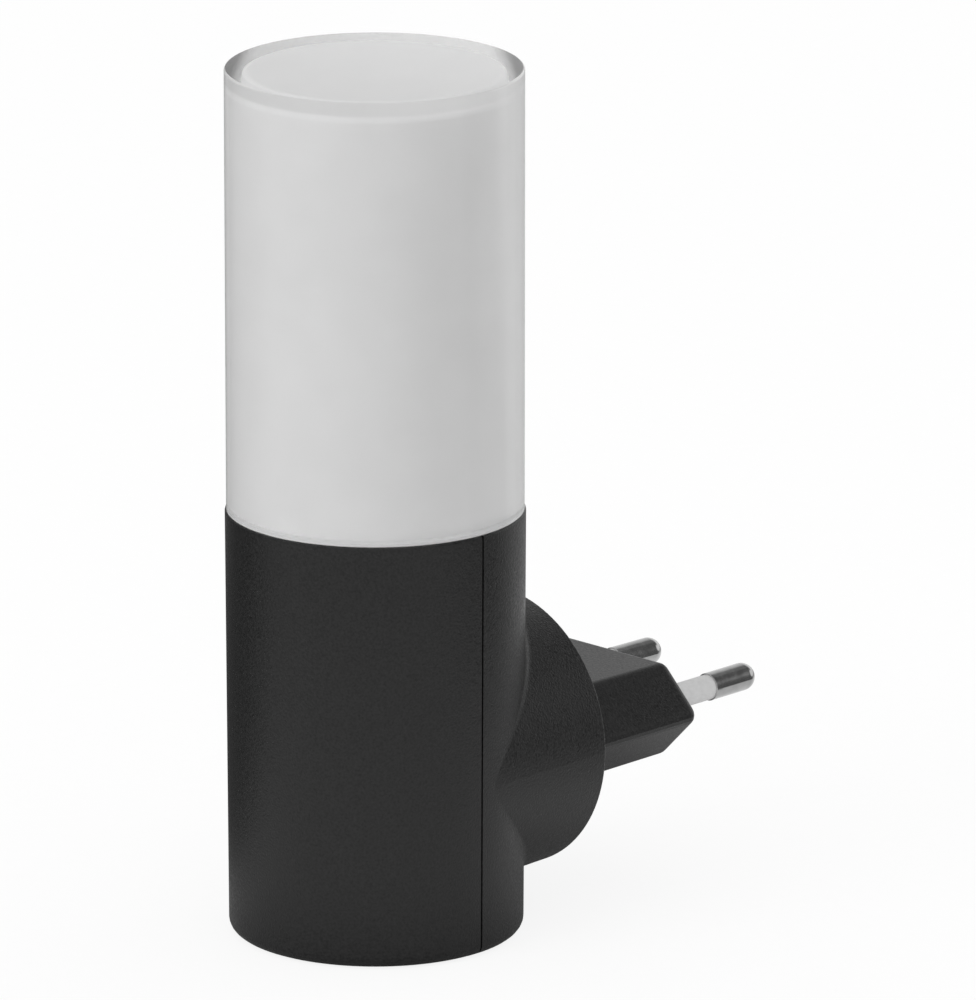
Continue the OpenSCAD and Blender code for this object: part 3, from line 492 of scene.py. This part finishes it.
# The pins lean towards each other
lean = math.atan((PIN_GAP - PIN_TIP_GAP) / 2 / PIN_LEN)
for label, side in (("left", -1), ("right", 1)):
    shoulder = turned("pin_shoulder_" + label, shoulder_outline, NICKEL, SHOULDER_SEGMENTS)
    root = Vector((side * PIN_GAP / 2, PLUG_Y, PIN_Z)) * MM
    for vertex in shoulder.data.vertices:
        x, y, z = vertex.co
        vertex.co = root + Vector((x * math.cos(lean) - z * side * math.sin(lean),
                                   z * math.cos(lean) + x * side * math.sin(lean), y))
    outward(shoulder)
    smooth_by_angle(shoulder)
    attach(shoulder, "housing")


# Switch spring: the coil under the plunger, which shortens as the plunger sinks

TILT = math.radians(9)
PIVOT_Z = 4.7
# The spring's ends, measured from the rocker's pivot
SPRING_LOW, SPRING_HIGH = -0.73, 1.03
SPRING_TURNS, SPRING_R, SPRING_WIRE, SPRING_SHARP = 3.0, 1.0, 0.15, 60
spring_len = SPRING_HIGH - SPRING_LOW
coil = mesh_object("plunger_spring", [(0, 0, 0)], [])
grow(coil, coil_tree(), {"Turns": SPRING_TURNS, "Radius": SPRING_R * MM, "Height": spring_len * MM,
                         "Wire": SPRING_WIRE * MM}, SPRING)
for vertex in coil.data.vertices:
    x, y, z = vertex.co
    z += SPRING_LOW * MM
    vertex.co = (x, y * math.cos(TILT) - z * math.sin(TILT),
                 y * math.sin(TILT) + z * math.cos(TILT) + PIVOT_Z * MM)
outward(coil)
smooth_by_angle(coil, SPRING_SHARP)
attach(coil, "rocker")
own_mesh(coil)
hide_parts("switch_spring")


# Stage: floor, world, lamps and camera

# Where the camera stands, in degrees from the front and above the floor, fitted to the light's outlines
AZIMUTH, ELEVATION, ROLL = (math.radians(v) for v in (44.339, 15.714, 0.021))
# Metres, and millimetres on a sensor 36 mm wide
DISTANCE, LENS, SENSOR = 1.7120, 442.6, 36
# What the camera aims at: so far to its right, and so high
AIM_RIGHT, AIM_Z = 0.01568, 0.062
right = Vector((math.cos(AZIMUTH), math.sin(AZIMUTH), 0))
ahead = Vector((-math.sin(AZIMUTH), math.cos(AZIMUTH), 0))
overhead = Vector((0, 0, 1))


def bearing(degrees_right, degrees_up):
    """A direction from the object: so far to the right of the way the camera looks, and so far up."""
    turn, rise = math.radians(degrees_right), math.radians(degrees_up)
    return (ahead * math.cos(turn) + right * math.sin(turn)) * math.cos(rise) + overhead * math.sin(rise)


# What the camera sees, directly or through the clear plastic, is white. Gloss mirrors a studio: a grey
# room with round, soft-edged cards. No light falls on the object from either. Each card covers those
# before it: direction, angles in degrees where it is full and where it has faded, brightness. In their
# order: pale below, and darker straight below, which is a painted shadow of the object on the paper as
# gloss sees it; a dark wall at the left; white overhead; a dark board high up at the right, and one
# further right; a bright window behind; a grey patch low down, which is painted shade on the paper
# behind the object as gloss sees it; a small window at the right; then grey cards low behind, which
# keep the edges of the clear shade apart from the white.
ROOM_LEVEL = 0.55
CARDS_AND_PAINTED_SHADE = [(-overhead, 60, 85, 0.8), (-overhead, 28, 52, 0.45), (bearing(-50, -10), 20, 50, 0.12),
         (overhead, 24, 42, 1.0), (bearing(48, 46), 14, 30, 0.2), (bearing(80, 18), 32, 40, 0.12),
         (bearing(28, 0), 22, 40, 1.0), (bearing(38, -48), 12, 24, 0.36), (bearing(66, 12), 11, 20, 1.0),
         (bearing(17, -6), 5, 9, 0.42), (bearing(29, -6), 5, 9, 0.42), (bearing(41, -6), 5, 9, 0.42),
         (bearing(53, -6), 5, 9, 0.5), (bearing(-27, -5), 4, 9, 0.35)]
studio = bpy.data.node_groups.new("studio_cards_and_painted_shade", "ShaderNodeTree")
studio.interface.new_socket("Direction", in_out="INPUT", socket_type="NodeSocketVector")
studio.interface.new_socket("Level", in_out="OUTPUT", socket_type="NodeSocketFloat")
studio.interface.new_socket("Seen", in_out="OUTPUT", socket_type="NodeSocketFloat")
studio.interface.new_socket("Mirrored", in_out="OUTPUT", socket_type="NodeSocketFloat")
given = add(studio, "NodeGroupInput")
mirrored = None
for toward, full, faded, brightness in CARDS_AND_PAINTED_SHADE:
    facing = add(studio, "ShaderNodeVectorMath", {0: given.outputs["Direction"]},
                 operation="DOT_PRODUCT")
    facing.inputs[1].default_value = toward
    inside = add(studio, "ShaderNodeMapRange", {"Value": facing.outputs["Value"]},
                 interpolation_type="SMOOTHSTEP")
    inside.inputs["From Min"].default_value = math.cos(math.radians(faded))
    inside.inputs["From Max"].default_value = math.cos(math.radians(full))
    step = add(studio, "ShaderNodeMix", {"Factor": inside.outputs[0]})
    step.inputs["A"].default_value, step.inputs["B"].default_value = ROOM_LEVEL, brightness
    if mirrored:
        studio.links.new(mirrored, step.inputs["A"])
    mirrored = step.outputs["Result"]
path = add(studio, "ShaderNodeLightPath")
mirror = add(studio, "ShaderNodeMath", {0: path.outputs["Is Glossy Ray"],
                                        1: path.outputs["Is Reflection Ray"]}, operation="MULTIPLY")
level = add(studio, "ShaderNodeMix", {"Factor": mirror.outputs[0], "B": mirrored})
level.inputs["A"].default_value = 1.0
seen = add(studio, "ShaderNodeMath", {0: path.outputs["Is Camera Ray"],
                                      1: path.outputs["Is Glossy Ray"]}, operation="MAXIMUM")
seen = add(studio, "ShaderNodeMath", {0: seen.outputs[0], 1: path.outputs["Is Transmission Ray"]},
           operation="MAXIMUM")
# No longer once the ray has met a matt surface
first = add(studio, "ShaderNodeMath", {0: path.outputs["Diffuse Depth"]}, operation="LESS_THAN")
first.inputs[1].default_value = 0.5
seen = add(studio, "ShaderNodeMath", {0: seen.outputs[0], 1: first.outputs[0]}, operation="MULTIPLY")
add(studio, "NodeGroupOutput", {"Level": level.outputs["Result"], "Seen": seen.outputs[0],
                                "Mirrored": mirror.outputs[0]})

# Floor: white paper, which the camera sees mostly at its own brightness, so that it stays pale and
# still keeps the object's shadow. Gloss sees less glow and more of the shadow.
FLOOR_HALF, FLOOR_DROP = 4000, 0.05
PAPER_SHARE, GLOSS_SHARE = 0.86, 0.2
FIBRE_MM = 2.5
# The height above the paper from which the object sees the studio
OUTLOOK_Z = 40
floor = mesh_object("floor", [(x * FLOOR_HALF, y * FLOOR_HALF, -FLOOR_DROP)
                              for x, y in ((-1, -1), (1, -1), (1, 1), (-1, 1))], [(0, 1, 2, 3)])
paper = bpy.data.materials.new("paper_sweep_white")
paper.use_nodes = True
tree = paper.node_tree
tree.nodes.clear()
place = add(tree, "ShaderNodeTexCoord")
fibre = add(tree, "ShaderNodeTexNoise", {"Vector": place.outputs["Object"]},
            Scale=1 / (FIBRE_MM * MM), Detail=2.0)
ramp = add(tree, "ShaderNodeValToRGB", {"Fac": fibre.outputs["Fac"]})
low, high = ramp.color_ramp.elements
low.color, high.color = linear("#f0f0f0"), linear("#f6f6f6")
# The studio as the middle of the object sees it over the paper
outlook = add(tree, "ShaderNodeVectorMath", {0: place.outputs["Object"]}, operation="SUBTRACT")
outlook.inputs[1].default_value = (0, 0, OUTLOOK_Z * MM)
outlook = add(tree, "ShaderNodeVectorMath", {0: outlook.outputs[0]}, operation="NORMALIZE")
view = add(tree, "ShaderNodeGroup", node_tree=studio)
tree.links.new(outlook.outputs[0], view.inputs["Direction"])
# In gloss the paper's glow and its colour are scaled by the studio's cards, so they carry the painted
# shadow under and behind the object on top of the real one
glow = add(tree, "ShaderNodeEmission", {"Strength": view.outputs["Level"]})
paper_with_painted_shade = add(tree, "ShaderNodeVectorMath", {0: ramp.outputs["Color"], "Scale": view.outputs["Level"]},
           operation="SCALE")
matt = add(tree, "ShaderNodeBsdfDiffuse", {"Color": paper_with_painted_shade.outputs[0]})
share = add(tree, "ShaderNodeMix", {"Factor": view.outputs["Mirrored"]})
share.inputs["A"].default_value, share.inputs["B"].default_value = PAPER_SHARE, GLOSS_SHARE
share = add(tree, "ShaderNodeMath", {0: share.outputs["Result"], 1: view.outputs["Seen"]},
            operation="MULTIPLY")
both = add(tree, "ShaderNodeMixShader", {0: share.outputs[0], 1: matt.outputs[0], 2: glow.outputs[0]})
add(tree, "ShaderNodeOutputMaterial", {"Surface": both.outputs[0]})
floor.data.materials.append(paper)

# The even light that falls on the object from all round
PLAIN_LEVEL = 0.94
world = bpy.data.worlds.new("studio")
bpy.context.scene.world = world
world.use_nodes = True
world.cycles.sampling_method = "NONE"
tree = world.node_tree
tree.nodes.clear()
place = add(tree, "ShaderNodeTexCoord")
view = add(tree, "ShaderNodeGroup", node_tree=studio)
tree.links.new(place.outputs["Generated"], view.inputs["Direction"])
level = add(tree, "ShaderNodeMix", {"Factor": view.outputs["Seen"], "B": view.outputs["Level"]})
level.inputs["A"].default_value = PLAIN_LEVEL
sky = add(tree, "ShaderNodeBackground", {"Strength": level.outputs["Result"]}, Color=(1, 1, 1, 1))
add(tree, "ShaderNodeOutputWorld", {"Surface": sky.outputs[0]})

back = bearing(180, math.degrees(ELEVATION))
target = right * AIM_RIGHT + overhead * AIM_Z

camera_data = bpy.data.cameras.new("camera")
camera_data.sensor_width, camera_data.lens = SENSOR, LENS
camera_data.clip_start, camera_data.clip_end = 0.1, 50
camera = bpy.data.objects.new("camera", camera_data)
bpy.context.scene.collection.objects.link(camera)
camera.location = target + back * DISTANCE
camera.rotation_euler = back.to_track_quat("Z", "Y").to_euler()
camera.rotation_euler.rotate_axis("Z", ROLL)
bpy.context.scene.camera = camera


def lamp(name, to_right, to_camera, up, size, watts):
    """A soft square lamp, so many metres from the object in the camera's own directions, aimed at it."""
    data = bpy.data.lights.new(name, "AREA")
    data.shape, data.size, data.energy = "SQUARE", size, watts
    obj = bpy.data.objects.new(name, data)
    bpy.context.scene.collection.objects.link(obj)
    obj.location = target + right * to_right + back * to_camera + overhead * up
    obj.rotation_euler = (obj.location - target).to_track_quat("Z", "Y").to_euler()
    obj.visible_transmission = False
    obj.visible_glossy = False


lamp("key_left", -1.3, 1.0, 0.9, 0.9, 8.0)
lamp("rim_right", 1.2, -0.9, 0.3, 0.5, 5.0)

bpy.context.scene.view_settings.view_transform = "Standard"
